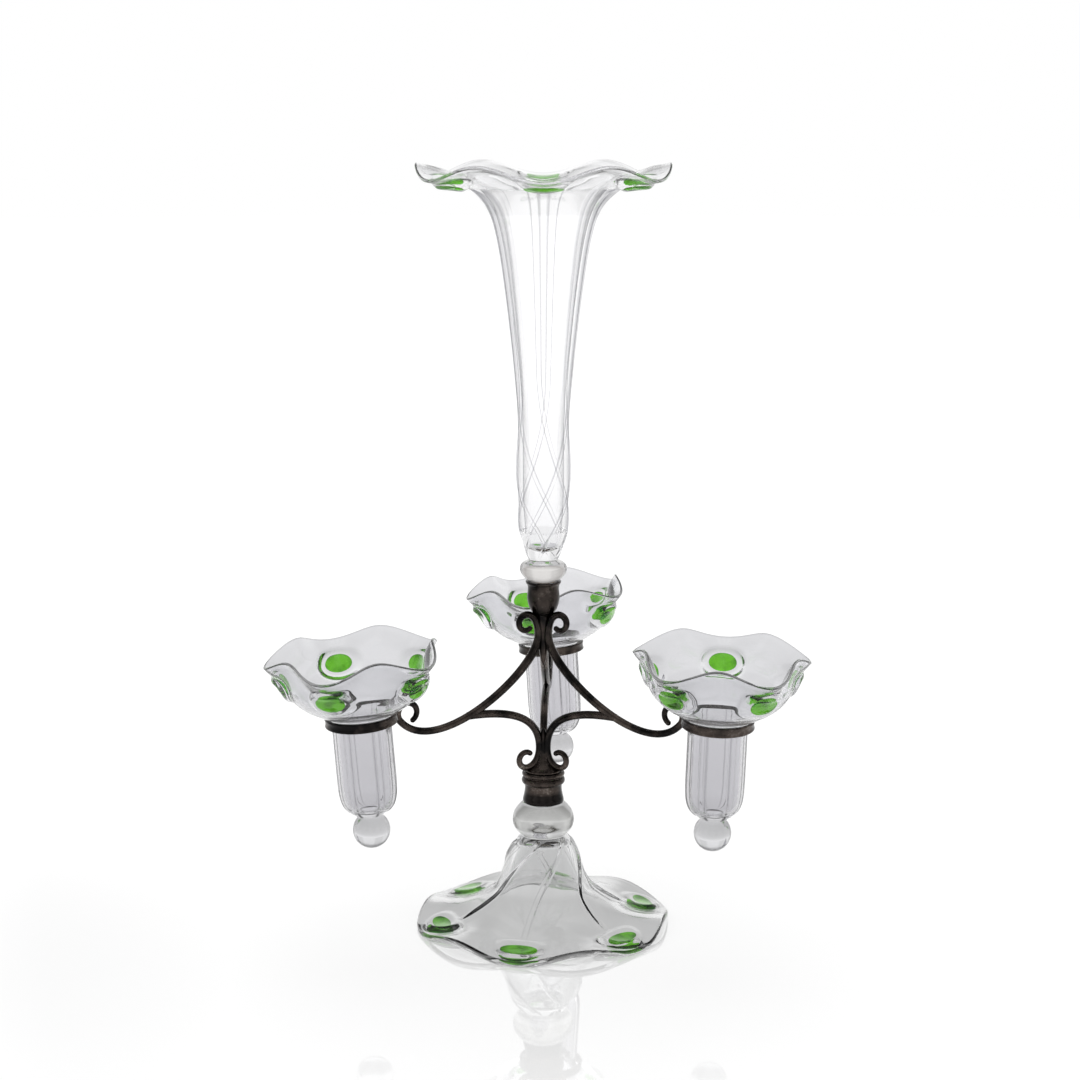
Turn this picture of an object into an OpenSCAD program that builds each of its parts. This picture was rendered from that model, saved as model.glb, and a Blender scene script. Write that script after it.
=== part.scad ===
// Table epergne: a tall glass trumpet and three hanging glass posies on a scrolled metal frame and a glass foot
// Millimetres, Z up, origin on the table under the middle of the stem

/* [Foot] */
// Height of the glass dome, from the table to its knop
foot_h = 56; // [48:1:66]
// Radius of the foot's rim
foot_r = 75; // [66:1:86]
// Radius of the dome's top, under the knop
foot_neck_r = 13; // [11:0.5:15]
// Thickness of the foot's glass
foot_wall = 4; // [3:0.25:5]
// Rise and fall of the foot's rim
foot_wave = 2.5; // [1.5:0.1:3.5]
// Number of waves and green prunts round the foot
foot_lobes = 6; // [5:1:7]
// Turn of the foot's first prunt about the stem
foot_turn = 19.5; // [0:0.5:60]
// Radius of the solid glass knop above the dome
foot_knop_r = 18.8; // [16:0.2:21]
// Height of that knop
foot_knop_h = 16.5; // [12:0.5:20]
// Radius of the glass peg that stands up into the ferrule
foot_peg_r = 7.6; // [6:0.2:8]
// Length of that peg
foot_peg_l = 17; // [12:0.5:18]

/* [Ferrule] */
// Height of the ferrule over the foot's peg
ferrule_h = 21.5; // [20:0.5:28]
// Radius of the ferrule's waist
ferrule_waist_r = 10.9; // [10.5:0.1:12]
// Swell of the ferrule's lower lip over its waist
ferrule_lip = 1.7; // [1:0.1:2.5]
// Radius of the round bead under the cap
bead_r = 2.6; // [2:0.1:3]
// Least thickness of the ferrule's metal
ferrule_wall = 1.6; // [1.2:0.1:2]
// Thickness of the cap's plate
cap_h = 1.6; // [1:0.1:2.5]
// Height of the boss on the cap, between the scrolls
boss_h = 7; // [5:0.5:9]

/* [Frame] */
// Height of the scrolled frame, from the cap to the upper socket
frame_h = 94.4; // [86:0.4:104]
// Distance from the stem's middle to the middle of each ring
arm_reach = 116.2; // [108:0.2:128]
// Height of the rings' middle above the cap
ring_rise = 46.4; // [39:0.1:50]
// Radius of the scroll's rod
rod_r = 2.6; // [2.2:0.1:2.8]
// Radius of the rod at the tips of its curls
tip_r = 1.6; // [1.2:0.1:2]
// Radius of the brace's rod
brace_r = 2.2; // [1.8:0.1:2.5]
// Radius of the curls, to the middle of the rod
curl_r = 5.1; // [4.6:0.1:5.6]
// Place on the scroll where the brace joins it, from 0 at the stem to 1 at the ring
brace_land = 0.58; // [0.52:0.01:0.64]

/* [Rings] */
// Height of a ring's band
ring_h = 5.6; // [5:0.2:9]
// Thickness of a ring's band
ring_wall = 2.1; // [1.6:0.1:2.6]
// Outward droop of the left, right and back rings, in degrees
ring_droop = [4.5, 3, 1.5]; // [0:0.5:6]
// Sideways lean of the left, right and back rings, in degrees
ring_lean = [-0.5, -1.5, 3.5]; // [-5:0.5:5]

/* [Socket] */
// Height of the upper socket
socket_h = 19; // [17:0.5:24]
// Radius of the socket's lip
socket_lip_r = 10.2; // [9.8:0.1:11]
// Radius of the socket's belly
socket_belly_r = 9.5; // [9:0.1:10]
// Radius of the socket's foot, where the scrolls are soldered
socket_foot_r = 6.7; // [6:0.1:7.5]
// Radius of the socket's bore
socket_bore_r = 7.2; // [6.8:0.1:7.6]
// Depth of the socket's bore
socket_bore_h = 14.5; // [12:0.5:15]
// Thickness of the cork bush
cork_wall = 1.5; // [1:0.1:2]

/* [Trumpet] */
// Height of the trumpet's glass above its knop, to the mean level of the rim
trumpet_h = 222; // [200:1:250]
// Radius of the trumpet's mouth
trumpet_mouth_r = 72.8; // [62:0.2:80]
// Radius of the trumpet's long narrow body
trumpet_body_r = 14.6; // [12.6:0.1:16.4]
// Radius of the trumpet's neck on its knop
trumpet_neck_r = 8.2; // [7:0.1:9]
// Thickness of the trumpet's glass
trumpet_wall = 2.8; // [2.2:0.1:3.2]
// Rise and fall of the trumpet's rim
trumpet_wave = 3.9; // [2:0.1:5]
// Number of waves, prunts and ribs round the trumpet
trumpet_lobes = 6; // [5:1:7]
// Turn of the trumpet's first prunt about the stem
trumpet_turn = 272.5; // [240:0.5:300]
// Twist of the ribs in the lower part of the trumpet
trumpet_twist = 110; // [0:5:150]
// Radius of the solid glass knop under the trumpet
trumpet_knop_r = 14; // [12:0.2:16]
// Height of that knop
trumpet_knop_h = 12; // [9:0.5:14]
// Length of the glass peg below the knop
trumpet_peg_l = 13.5; // [11:0.5:13.5]

/* [Posies] */
// Radius of a posy's flute
flute_r = 16.2; // [14.5:0.1:18]
// Length of the flute below the ring's top
flute_l = 59.8; // [50:0.2:68]
// Mean radius of the bowl's rim
bowl_r = 48.5; // [44:0.1:53]
// Mean height of the bowl's rim above the ring's top
bowl_h = 35.6; // [31:0.2:40]
// Thickness of a posy's glass
posy_wall = 2.6; // [2:0.1:3]
// Rise and fall of the bowl's rim
bowl_wave = 3.8; // [2:0.1:5]
// In and out swing of the bowl's rim
bowl_swing = 3.6; // [1:0.1:4.5]
// Number of waves and prunts round a bowl
posy_lobes = 5; // [4:1:6]
// Turn of the first prunt of the left, right and back posy from its own arm
posy_turn = [-25.5, -28, 24.5]; // [-36:0.5:36]
// Number of ribs round a flute
flute_ribs = 8; // [6:1:10]
// Radius of the solid glass ball under a flute
finial_r = 10.7; // [9:0.1:12]
// Radius where that ball joins the flute
finial_neck_r = 6; // [5:0.1:7]

/* [Prunts] */
// Height of the ribs on the glass
rib_h = 0.6; // [0.2:0.1:0.9]
// Swell of the clear boss round each prunt
swell_h = 2.6; // [1.5:0.1:3.5]
// Radius of the trumpet's green prunts
trumpet_prunt_r = 9; // [6:0.5:11]
// Radius of the foot's green prunts
foot_prunt_r = 8; // [6:0.5:10]
// Radius of a posy's green prunts
posy_prunt_r = 6.4; // [5:0.2:8]
// Half the thickness of a prunt
prunt_h = 1.6; // [1.2:0.1:2.2]

/* [Fits] */
// Gap between a piece that lifts out and the metal that carries it
seat_gap = 0.2; // [0.1:0.05:0.3]
// Gap between a flute and its ring
ring_gap = 1.8; // [1.4:0.1:2.4]
// Running gap of the cork bush and of the peg in it
bush_gap = 0.05; // [0.03:0.01:0.1]
// Depth of the solder where two pieces of the frame meet
solder = 0.25; // [0.15:0.05:0.4]
// Gap between the scrolls where they run side by side
rod_gap = 0.15; // [0.1:0.05:0.3]

/* [Hidden] */
SIDES = ["left", "right", "back"];
ARM_TURN = [210, 330, 90];
$fn = 96;
// Steps between two given points of a glass outline
steps = 2;

glass = "lightsteelblue";
green = "limegreen";
metal = "dimgray";

// Heights, from the table up
ferrule_z = foot_h + foot_knop_h;
cap_z = ferrule_z + ferrule_h;
frame_z = cap_z + cap_h;
socket_z = frame_z + frame_h;
lip_z = socket_z + socket_h;
ring_z = frame_z + ring_rise;
trumpet_z = lip_z + seat_gap + trumpet_knop_h;

// Fits of the rings, the ferrule and the socket
ring_in_r = flute_r + rib_h + ring_gap;
ring_out_r = ring_in_r + ring_wall;
ferrule_bore_r = ferrule_waist_r - ferrule_wall;
cork_r = socket_bore_r - bush_gap;
trumpet_peg_r = cork_r - cork_wall - bush_gap;

// Smooth step from 0 to 1
function ease(x) = let (t = min(1, max(0, x))) t * t * (3 - 2 * t);

// Point of a smooth curve through the given points, with u from 0 to the last point's index
function through(points, u) =
    let (last = len(points) - 1,
         k = min(floor(u), last - 1),
         t = u - k,
         a = points[max(0, k - 1)],
         b = points[k],
         c = points[k + 1],
         d = points[min(last, k + 2)])
    b + t / 2 * (c - a + t * (2 * a - 5 * b + 4 * c - d + t * (3 * (b - c) + d - a)));

// The same curve as a list, with a number of steps between two points
function outline(points, steps) =
    [for (s = [0:steps * (len(points) - 1)]) through(points, s / steps)];

// Point at t on a curve with two end points and two handles
function bend(p, t) =
    let (s = 1 - t)
    s * s * s * p[0] + 3 * s * s * t * p[1] + 3 * s * t * t * p[2] + t * t * t * p[3];

// Direction of an outline at its point j, and the direction square to it on its right hand
function heading(line, j) =
    let (d = line[min(j + 1, len(line) - 1)] - line[max(j - 1, 0)])
    d / norm(d);
function outward(line, j) = let (d = heading(line, j)) [d.y, -d.x];

// Angle from a to the nearest of a number of evenly spaced prunts
function off_prunt(a, lobes, turn) =
    let (pitch = 360 / lobes, x = (a - turn) / pitch)
    (x - round(x)) * pitch;

// Ring of points of a glass wall at point j of its outline, at a depth in the glass and past the outline's end
// Over each prunt the ring moves by sway, and the outer face swells by a boss of a given spread round seat
// The outer face has ribs, given as [height, count, turn]
function glass_ring(line, j, depth, past, sides, lobes, turn, sway, seat, spread, rib) =
    let (out = outward(line, j),
         p = line[j] - depth * out + past * heading(line, j),
         along = norm(line[j] - line[seat]),
         face = depth > 0 ? 0 : 1)
    [for (i = [0:sides - 1])
        let (a = 360 * i / sides,
             across = off_prunt(a, lobes, turn) * PI / 180 * p.x,
             boss = swell_h * exp(-pow(norm([along, across]) / spread, 4)),
             ridge = rib[0] * cos(rib[1] * (a - rib[2])),
             q = p + cos(lobes * (a - turn)) * sway + face * (boss + ridge) * out)
        [q.x * cos(a), q.x * sin(a), q.y]];

// Closed solid through rings of points, flat at both ends
module skin(rings) {
    n = len(rings[0]);
    last = len(rings) - 1;
    wall = [for (j = [0:last - 1], i = [0:n - 1], half = [0:1])
        let (a = j * n + i, b = j * n + (i + 1) % n)
        half == 0 ? [a, a + n, b] : [b, a + n, b + n]];
    polyhedron(
        points = [for (ring = rings) each ring],
        faces = concat(
            [[for (i = [0:n - 1]) i]],
            wall,
            [[for (i = [n - 1:-1:0]) last * n + i]]));
}

// Rod along a path of [reach, height, radius] in the plane of an arm
module rod(path) {
    sides = 8;
    line = [for (p = path) [p.x, p.y]];
    skin([for (j = [0:len(path) - 1])
        let (out = outward(line, j))
        [for (i = [0:sides - 1])
            let (a = 360 * i / sides, d = path[j].z * cos(a))
            [path[j].x + d * out.x, path[j].z * sin(a), path[j].y + d * out.y]]]);
}

// Lens with two domed faces, lying flat at the origin
module lens(r, h) {
    dome = (r * r + h * h) / (2 * h);
    rotate_extrude() intersection() {
        translate([0, h - dome]) circle(dome, $fn = 360);
        translate([0, dome - h]) circle(dome, $fn = 360);
        translate([0, -h]) square([r, 2 * h]);
    }
}

// Prunts round a vessel, each on the boss at the outline's point seat
module prunts(line, seat, lobes, turn, sway, r) {
    out = outward(line, seat);
    q = line[seat] + sway + swell_h * out;
    for (k = [0:lobes - 1])
        rotate([0, 0, turn + 360 * k / lobes])
        translate([q.x, 0, q.y])
        rotate([0, atan2(out.x, out.y), 0])
        lens(r, prunt_h);
}

// Section of a solid knop with a rounded side, standing on the line y = 0
module knop_section(r, h) {
    square([r - h / 2, h]);
    intersection() {
        translate([r - h / 2, h / 2]) circle(h / 2);
        square([r, h]);
    }
}

// Glass foot: the outline runs along its upper face from the rim to the neck
foot_sides = 8 * foot_lobes;
// Level of the rim's upper face, at which the underside of each dip is ground flat on the table
foot_rim_z = foot_wall + foot_wave - 1;
foot_edge = 1.5;
foot_line = outline([
    [foot_r - foot_edge, foot_rim_z],
    [foot_r - 14, foot_rim_z + 1],
    [foot_r - 29, foot_rim_z + 5],
    [foot_neck_r + 18.4, foot_rim_z + 12.5],
    [foot_neck_r + 11.6, foot_h - 29],
    [foot_neck_r + 8.4, foot_h - 17],
    [foot_neck_r + 4.6, foot_h - 6.5],
    [foot_neck_r, foot_h]], steps);
foot_last = len(foot_line) - 1;
// Points of the outline where the waves die out, the prunts sit and the hollow ends
foot_wave_end = 3 * steps;
foot_seat = steps;
foot_hollow = foot_last - steps;
foot_twist = 75;

function foot_sway(j) = ease(1 - j / foot_wave_end) * [1.5, -foot_wave];
function foot_ring(j, depth, past) =
    let (up = j / foot_last,
         rib = [rib_h * ease(4 * up - 1) * ease(8 - 8 * up), foot_lobes, foot_turn - foot_twist * up])
    [for (p = glass_ring(foot_line, j, depth, past, foot_sides, foot_lobes, foot_turn,
            foot_sway(j), foot_seat, 1.625 * foot_prunt_r, rib))
        [p.x, p.y, max(0, p.z)]];

module foot() {
    color(glass) skin(concat(
        [for (j = [foot_hollow:-1:0]) foot_ring(j, foot_wall, 0)],
        [foot_ring(0, foot_wall / 2, -foot_edge)],
        [for (j = [0:foot_last]) foot_ring(j, 0, 0)]));
}

module foot_prunts() {
    color(green) prunts(foot_line, foot_seat, foot_lobes, foot_turn, foot_sway(foot_seat), foot_prunt_r);
}

module foot_knop() {
    color(glass) translate([0, 0, foot_h]) {
        rotate_extrude() knop_section(foot_knop_r, foot_knop_h);
        translate([0, 0, foot_knop_h]) cylinder(r = foot_peg_r, h = foot_peg_l);
    }
}

// Ferrule: a turned sleeve with a waist and a bead, packed with plaster round the foot's peg
module ferrule_packing() {
    color("linen") translate([0, 0, ferrule_z]) difference() {
        cylinder(r = ferrule_bore_r, h = foot_peg_l);
        translate([0, 0, -1]) cylinder(r = foot_peg_r, h = foot_peg_l + 2);
    }
}

module ferrule() {
    bead_z = ferrule_h - 2 * bead_r;
    waist_z = ferrule_h / 2;
    flank = outline([
        [ferrule_waist_r + ferrule_lip - 0.6, 0],
        [ferrule_waist_r + ferrule_lip, waist_z * 0.3],
        [ferrule_waist_r, waist_z],
        [ferrule_waist_r, ferrule_h]], 4);
    color(metal) translate([0, 0, ferrule_z]) difference() {
        rotate_extrude() {
            polygon(concat([[0, 0]], flank, [[0, ferrule_h]]));
            translate([ferrule_waist_r - bead_r / 4, bead_z]) circle(bead_r);
        }
        translate([0, 0, -1]) cylinder(r = ferrule_bore_r, h = foot_peg_l + 1 + seat_gap);
    }
}

// Cap that closes the ferrule, with a hollow-sided boss between the lower curls
module frame_cap() {
    flank = outline([
        [7, 0],
        [4.6, boss_h * 0.4],
        [3.4, boss_h * 0.7],
        [2.4, boss_h]], 4);
    color(metal) translate([0, 0, cap_z]) rotate_extrude() {
        square([ferrule_waist_r, cap_h]);
        translate([0, cap_h]) polygon(concat([[0, 0]], flank, [[0, boss_h]]));
    }
}

// Paths of the frame's rods, as [reach, height, radius] in the plane of an arm

// Three rods that run side by side round the stem's middle
scroll_in = (2 * rod_r + rod_gap) / sqrt(3);
brace_in = (2 * brace_r + rod_gap) / sqrt(3);
curl_out = scroll_in + 1.6 * curl_r;
// Radius of the rod over the shoulder of an upper curl and under the toe of a lower one
shoulder_r = (rod_r + tip_r) / 2;
toe_r = (brace_r + tip_r) / 2;
lower_curl_z = frame_z + curl_r + toe_r - solder;
upper_curl_z = socket_z - 0.64 * curl_r - shoulder_r;
// Outermost point of the scroll, against the ring
ring_touch = arm_reach - ring_out_r - shoulder_r + solder;

// Spiral of a curl from its tip, with its radius growing towards the rod
function curl(c, from, to, small, large, thin, thick, steps) =
    [for (s = [0:steps])
        let (t = s / steps, a = from + (to - from) * t, r = small + (large - small) * t)
        [c.x + r * cos(a), c.y + r * sin(a), thin + (thick - thin) * t]];

// Points of a bend after its first, with the rod's radius going from one value to another
function rod_bend(p, thin, thick, steps) =
    [for (s = [1:steps])
        let (t = s / steps, q = bend(p, t))
        [q.x, q.y, thin + (thick - thin) * ease(t)]];

// The upper curl, over its shoulder, down the stem and out to a curl beside the ring
upper_curl = curl([curl_out, upper_curl_z], -125, 100, 0.82 * curl_r, curl_r, tip_r, shoulder_r, 12);
upper_end = upper_curl[len(upper_curl) - 1];
stem_top = upper_curl_z - 1.5 * curl_r;
end_large = 1.25 * curl_r;
end_small = 1.08 * curl_r;
end_from = -40;
end_to = 235;
// Length of the handle with which the rod runs into the end curl
end_pull = 7 * curl_r;
// Radius of the end curl where it meets the ring, at the angle 0
end_meet = end_large + (end_small - end_large) * end_from / (end_from - end_to);
end_centre = [ring_touch - end_meet, ring_z - 0.32 * ring_h];
end_curl = curl(end_centre, end_from, end_to, end_large, end_small, shoulder_r, tip_r, 14);
shoulder = [
    [upper_end.x, upper_end.y],
    [upper_end.x - 0.9 * curl_r, upper_end.y - 0.16 * curl_r],
    [scroll_in, stem_top + 1.4 * curl_r],
    [scroll_in, stem_top]];
sweep_out = [
    [scroll_in, stem_top],
    [scroll_in, stem_top - 0.6 * (stem_top - ring_z)],
    [end_curl[0].x + end_pull * sin(end_from), end_curl[0].y - end_pull * cos(end_from)],
    [end_curl[0].x, end_curl[0].y]];
scroll_path = concat(
    upper_curl,
    rod_bend(shoulder, shoulder_r, rod_r, 6),
    rod_bend(sweep_out, rod_r, shoulder_r, 20),
    [for (j = [1:len(end_curl) - 1]) end_curl[j]]);

// The lower curl, up the stem and out to the underside of the scroll
lower_curl = curl([curl_out, lower_curl_z], 125, -100, 0.82 * curl_r, curl_r, tip_r, toe_r, 12);
lower_end = lower_curl[len(lower_curl) - 1];
stem_foot = lower_curl_z + 1.2 * curl_r;
landing = bend(sweep_out, brace_land);
toe = [
    [lower_end.x, lower_end.y],
    [lower_end.x - 0.9 * curl_r, lower_end.y + 0.16 * curl_r],
    [brace_in, stem_foot - 1.2 * curl_r],
    [brace_in, stem_foot]];
brace_out = [
    [brace_in, stem_foot],
    [brace_in, stem_foot + 0.78 * (landing.y - stem_foot)],
    [landing.x * 0.45, landing.y],
    landing];
brace_path = concat(
    lower_curl,
    rod_bend(toe, toe_r, brace_r, 6),
    rod_bend(brace_out, brace_r, brace_r, 16));

module scroll(k) {
    color(metal) rotate([0, 0, ARM_TURN[k]]) rod(scroll_path);
}

module brace(k) {
    color(metal) rotate([0, 0, ARM_TURN[k]]) rod(brace_path);
}

// Places its children with the origin in the middle of a ring's top face, drooping from where the scroll holds it
module at_ring(k) {
    rotate([0, 0, ARM_TURN[k]])
    translate([arm_reach - ring_out_r, 0, ring_z])
    rotate([-ring_lean[k], ring_droop[k], 0])
    translate([ring_out_r, 0, ring_h / 2])
    children();
}

module ring(k) {
    chamfer = ring_wall / 4;
    color(metal) at_ring(k) rotate_extrude() polygon([
        [ring_in_r, -ring_h + chamfer],
        [ring_in_r + chamfer, -ring_h],
        [ring_out_r - chamfer, -ring_h],
        [ring_out_r, -ring_h + chamfer],
        [ring_out_r, -chamfer],
        [ring_out_r - chamfer, 0],
        [ring_in_r + chamfer, 0],
        [ring_in_r, -chamfer]]);
}

// Socket: a small urn soldered on the three shoulders, with a cork bush for the trumpet's peg
module socket() {
    flank = outline([
        [socket_foot_r, 0],
        [socket_belly_r - 0.7, socket_h * 0.22],
        [socket_belly_r, socket_h * 0.42],
        [socket_belly_r - 0.3, socket_h * 0.75],
        [socket_lip_r, socket_h]], 4);
    color(metal) translate([0, 0, socket_z]) difference() {
        rotate_extrude() polygon(concat([[0, 0]], flank, [[0, socket_h]]));
        translate([0, 0, socket_h - socket_bore_h]) cylinder(r = socket_bore_r, h = socket_bore_h + 1);
    }
}

module socket_cork() {
    cork_h = socket_bore_h - seat_gap;
    color("peru") translate([0, 0, lip_z - cork_h]) difference() {
        cylinder(r = cork_r, h = cork_h);
        translate([0, 0, -1]) cylinder(r = trumpet_peg_r + bush_gap, h = cork_h + 2);
    }
}

// Trumpet: the outline runs up its outer face from the neck to the rim
trumpet_sides = 8 * trumpet_lobes;
trumpet_edge = 1;
mouth_r = trumpet_mouth_r - trumpet_edge;
trumpet_line = outline([
    [trumpet_neck_r, 0],
    [trumpet_body_r * 0.836, trumpet_h * 0.054],
    [trumpet_body_r * 0.993, trumpet_h * 0.153],
    [trumpet_body_r * 1.007, trumpet_h * 0.351],
    [trumpet_body_r * 1.247, trumpet_h * 0.577],
    [trumpet_body_r * 1.63, trumpet_h * 0.784],
    [trumpet_body_r + (mouth_r - trumpet_body_r) * 0.269, trumpet_h * 0.903],
    [trumpet_body_r + (mouth_r - trumpet_body_r) * 0.502, trumpet_h * 0.964],
    [mouth_r, trumpet_h]], steps);
trumpet_last = len(trumpet_line) - 1;
// Points of the outline where the waves begin, the prunts sit, the twist ends and the hollow begins
trumpet_wave_from = 6 * steps;
trumpet_seat = trumpet_last - steps / 2;
trumpet_twist_end = 3 * steps;
trumpet_hollow = steps;

function trumpet_sway(j) =
    ease((j - trumpet_wave_from) / (trumpet_last - trumpet_wave_from)) * [1, -trumpet_wave];
function trumpet_ring(j, depth, past) =
    let (fade = ease(j / steps) * ease((trumpet_wave_from + steps - j) / (2 * steps)),
         twist = trumpet_twist * (1 - min(1, j / trumpet_twist_end)))
    glass_ring(trumpet_line, j, depth, past, trumpet_sides, trumpet_lobes, trumpet_turn,
        trumpet_sway(j), trumpet_seat, 1.45 * trumpet_prunt_r,
        [rib_h * fade, trumpet_lobes, trumpet_turn - twist]);

module trumpet() {
    color(glass) translate([0, 0, trumpet_z]) skin(concat(
        [for (j = [0:trumpet_last]) trumpet_ring(j, 0, 0)],
        [trumpet_ring(trumpet_last, trumpet_wall / 2, trumpet_edge)],
        [for (j = [trumpet_last:-1:trumpet_hollow]) trumpet_ring(j, trumpet_wall, 0)]));
}

module trumpet_prunts() {
    color(green) translate([0, 0, trumpet_z])
        prunts(trumpet_line, trumpet_seat, trumpet_lobes, trumpet_turn, trumpet_sway(trumpet_seat), trumpet_prunt_r);
}

module trumpet_knop() {
    color(glass) translate([0, 0, trumpet_z - trumpet_knop_h]) {
        rotate_extrude() knop_section(trumpet_knop_r, trumpet_knop_h);
        translate([0, 0, -trumpet_peg_l]) cylinder(r = trumpet_peg_r, h = trumpet_peg_l);
    }
}

// Posy: the outline runs up its outer face from the flute's end to the rim, level 0 being the ring's top
posy_sides = 8 * posy_lobes;
posy_edge = 0.8;
posy_neck_r = ring_in_r + 1.2;
posy_line = outline([
    [finial_neck_r, -flute_l],
    [flute_r - 2.2, -flute_l + 6],
    [flute_r, -flute_l + 17],
    [flute_r, -20],
    [flute_r + 0.2, -4],
    [posy_neck_r, seat_gap + 0.6],
    [posy_neck_r + (bowl_r - posy_neck_r) * 0.25, bowl_h * 0.12],
    [bowl_r * 0.755, bowl_h * 0.33],
    [bowl_r * 0.848, bowl_h * 0.57],
    [bowl_r * 0.91, bowl_h * 0.82],
    [bowl_r, bowl_h]], steps);
posy_last = len(posy_line) - 1;
// Points of the outline where the waves begin, the prunts sit, the ribs end and the hollow begins
posy_wave_from = 7.5 * steps;
posy_seat = 8 * steps;
posy_rib_end = 4 * steps;
posy_hollow = steps;

function posy_sway(j) =
    ease((j - posy_wave_from) / (posy_last - posy_wave_from)) * [bowl_swing, -bowl_wave];
function posy_ring(k, j, depth, past) =
    let (fade = ease(j / steps) * ease((posy_rib_end - j) / steps))
    glass_ring(posy_line, j, depth, past, posy_sides, posy_lobes, posy_turn[k],
        posy_sway(j), posy_seat, 1.64 * posy_prunt_r, [rib_h * fade, flute_ribs, 0]);

module posy(k) {
    color(glass) at_ring(k) skin(concat(
        [for (j = [0:posy_last]) posy_ring(k, j, 0, 0)],
        [posy_ring(k, posy_last, posy_wall / 2, posy_edge)],
        [for (j = [posy_last:-1:posy_hollow]) posy_ring(k, j, posy_wall, 0)]));
}

module posy_prunts(k) {
    color(green) at_ring(k)
        prunts(posy_line, posy_seat, posy_lobes, posy_turn[k], posy_sway(posy_seat), posy_prunt_r);
}

module posy_finial(k) {
    drop = sqrt(finial_r * finial_r - finial_neck_r * finial_neck_r);
    color(glass) at_ring(k) translate([0, 0, -flute_l]) difference() {
        translate([0, 0, -drop]) sphere(finial_r);
        translate([0, 0, finial_r]) cube(2 * finial_r, center = true);
    }
}

foot();
foot_prunts();
foot_knop();
ferrule_packing();
ferrule();
frame_cap();
socket();
socket_cork();
trumpet();
trumpet_prunts();
trumpet_knop();
for (k = [0:2]) {
    scroll(k);
    brace(k);
    ring(k);
    posy(k);
    posy_prunts(k);
    posy_finial(k);
}
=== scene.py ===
import math
import bpy
from mathutils import Matrix, Vector, kdtree


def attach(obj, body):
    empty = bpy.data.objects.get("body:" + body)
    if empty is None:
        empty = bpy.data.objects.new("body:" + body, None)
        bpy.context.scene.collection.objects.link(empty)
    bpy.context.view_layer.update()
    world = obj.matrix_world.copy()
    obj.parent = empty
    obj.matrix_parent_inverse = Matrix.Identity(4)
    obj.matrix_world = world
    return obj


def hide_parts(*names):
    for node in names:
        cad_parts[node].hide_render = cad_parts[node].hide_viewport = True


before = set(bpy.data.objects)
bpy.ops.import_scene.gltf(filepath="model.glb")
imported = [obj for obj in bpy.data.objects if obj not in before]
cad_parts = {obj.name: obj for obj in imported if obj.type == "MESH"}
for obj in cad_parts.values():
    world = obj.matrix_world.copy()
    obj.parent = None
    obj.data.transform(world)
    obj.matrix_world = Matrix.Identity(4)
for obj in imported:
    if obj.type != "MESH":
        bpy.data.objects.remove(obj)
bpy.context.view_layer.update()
mm = 0.001
sides = ("left", "right", "back")
rimTurns = (30, 60, 90, 120, 150)  # steps round a rolled rim, in degrees
print("frame loaded:", len(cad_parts), "nodes")


# ways of shaping that every piece uses

def clearSelection():
    if bpy.context.mode != "OBJECT":
        bpy.ops.object.mode_set(mode="OBJECT")
    bpy.ops.object.select_all(action="DESELECT")


def ease(x):
    t = min(1.0, max(0.0, x))
    return t * t * (3 - 2 * t)


def rise(value, low, high):  # from 0 at low to 1 at high
    return ease((value - low) / (high - low))


def smoothLine(points, steps):  # a curve through all the points, with one count of steps or one for each gap
    points = [Vector(p) for p in points]
    last = len(points) - 1
    if isinstance(steps, int):
        steps = [steps] * last
    line = []
    for k in range(last):
        a, b, c, d = points[max(0, k - 1)], points[k], points[k + 1], points[min(last, k + 2)]
        for s in range(steps[k]):
            t = s / steps[k]
            line.append(b + (c - a + (2 * a - 5 * b + 4 * c - d + (3 * (b - c) + d - a) * t) * t) * (t / 2))
    return line + [points[last]]


def nearest(line, spot):
    return min(range(len(line)), key=lambda j: (line[j] - Vector(spot)).length)


def along(line, j):
    return (line[min(j + 1, len(line) - 1)] - line[max(j - 1, 0)]).normalized()


def outward(line, j):
    d = along(line, j)
    return Vector((d.y, -d.x))


def spinLine(name, points, steps):  # points are [radius, height] in millimetres
    clearSelection()
    bpy.ops.mesh.primitive_plane_add(size=mm)
    piece = bpy.context.active_object
    piece.name = piece.data.name = name
    bpy.ops.object.mode_set(mode="EDIT")
    bpy.ops.mesh.select_all(action="SELECT")
    bpy.ops.mesh.merge(type="CENTER")
    spots = [Vector((p[0], 0, p[1])) * mm for p in points]
    bpy.ops.transform.translate(value=spots[0])
    for a, b in zip(spots, spots[1:]):
        bpy.ops.mesh.extrude_region_move(TRANSFORM_OT_translate={"value": b - a})
    bpy.ops.mesh.select_all(action="SELECT")
    bpy.ops.mesh.spin(steps=steps, angle=2 * math.pi, center=(0, 0, 0), axis=(0, 0, 1))
    bpy.ops.mesh.select_all(action="SELECT")
    bpy.ops.mesh.remove_doubles(threshold=1e-6)
    bpy.ops.mesh.normals_make_consistent(inside=False)
    bpy.ops.object.mode_set(mode="OBJECT")
    bpy.ops.object.shade_smooth()
    return piece


def blowGlass(name, profile, steps, place):  # spun from [point, j, depth], then pulled into waves and ribs
    points = [p[0] for p in profile]
    piece = spinLine(name, points, steps)
    tree = kdtree.KDTree(len(points))
    for i, p in enumerate(points):
        tree.insert((p[0], p[1], 0), i)
    tree.balance()
    # the line attribute marks rib flanks, where the glass is given painted shade
    line = piece.data.attributes.new("line", "FLOAT", "POINT")
    for v in piece.data.vertices:
        i = tree.find((math.hypot(v.co.x, v.co.y) / mm, v.co.z / mm, 0))[1]
        x, y, z, line.data[v.index].value = place(profile[i], math.atan2(v.co.y, v.co.x))
        v.co = Vector((x, y, z)) * mm
    piece.data.update()
    return piece


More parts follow.
